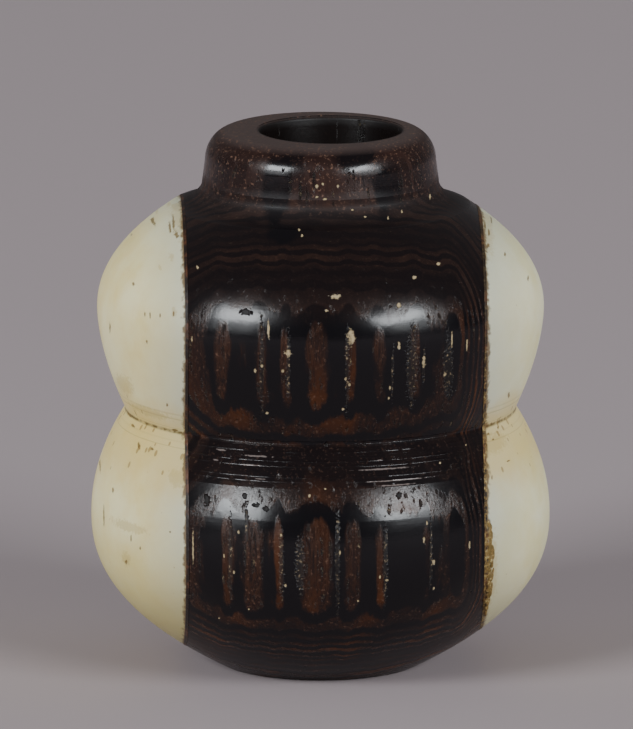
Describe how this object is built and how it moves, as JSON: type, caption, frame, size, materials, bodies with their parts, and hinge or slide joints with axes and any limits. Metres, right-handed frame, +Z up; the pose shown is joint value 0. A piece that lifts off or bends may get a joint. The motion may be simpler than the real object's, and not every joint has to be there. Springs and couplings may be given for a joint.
{
  "type": "ojime bead",
  "caption": "Double-gourd sliding cord bead: dark turned wood core with integral collar and through bore, flanked by pale ivory-like cheeks pegged and glued to its flat sides.",
  "frame": {"origin": "centre of the flat foot ring that the bead stands on, on the axis that the bead was turned about", "axes": "+Z up along the turning axis, towards the collar; +X across the sandwich, from the left pale cheek through the wood slab to the right pale cheek; the slab and the cord bore through its middle lie 0.42 mm off the turning axis, to +X; the wood shows its broad striped face along -Y and +Y"},
  "size_m": [0.019, 0.019, 0.0224],
  "materials": {
    "dark_wood": "polished, with open vertical pores and worn brown bands",
    "pale_cheek": "polished ivory-like cream, yellowed in the groove and at the edges",
    "glue": "aged amber animal glue with dirt",
    "peg_bamboo": "split bamboo, unfinished"
  },
  "bodies": {
    "root": {"wood_core": "dark_wood", "left_cheek": "pale_cheek", "right_cheek": "pale_cheek", "left_glue_line": "glue", "right_glue_line": "glue", "left_upper_peg": "peg_bamboo", "left_lower_peg": "peg_bamboo", "right_upper_peg": "peg_bamboo", "right_lower_peg": "peg_bamboo"}
  },
  "joints": []
}
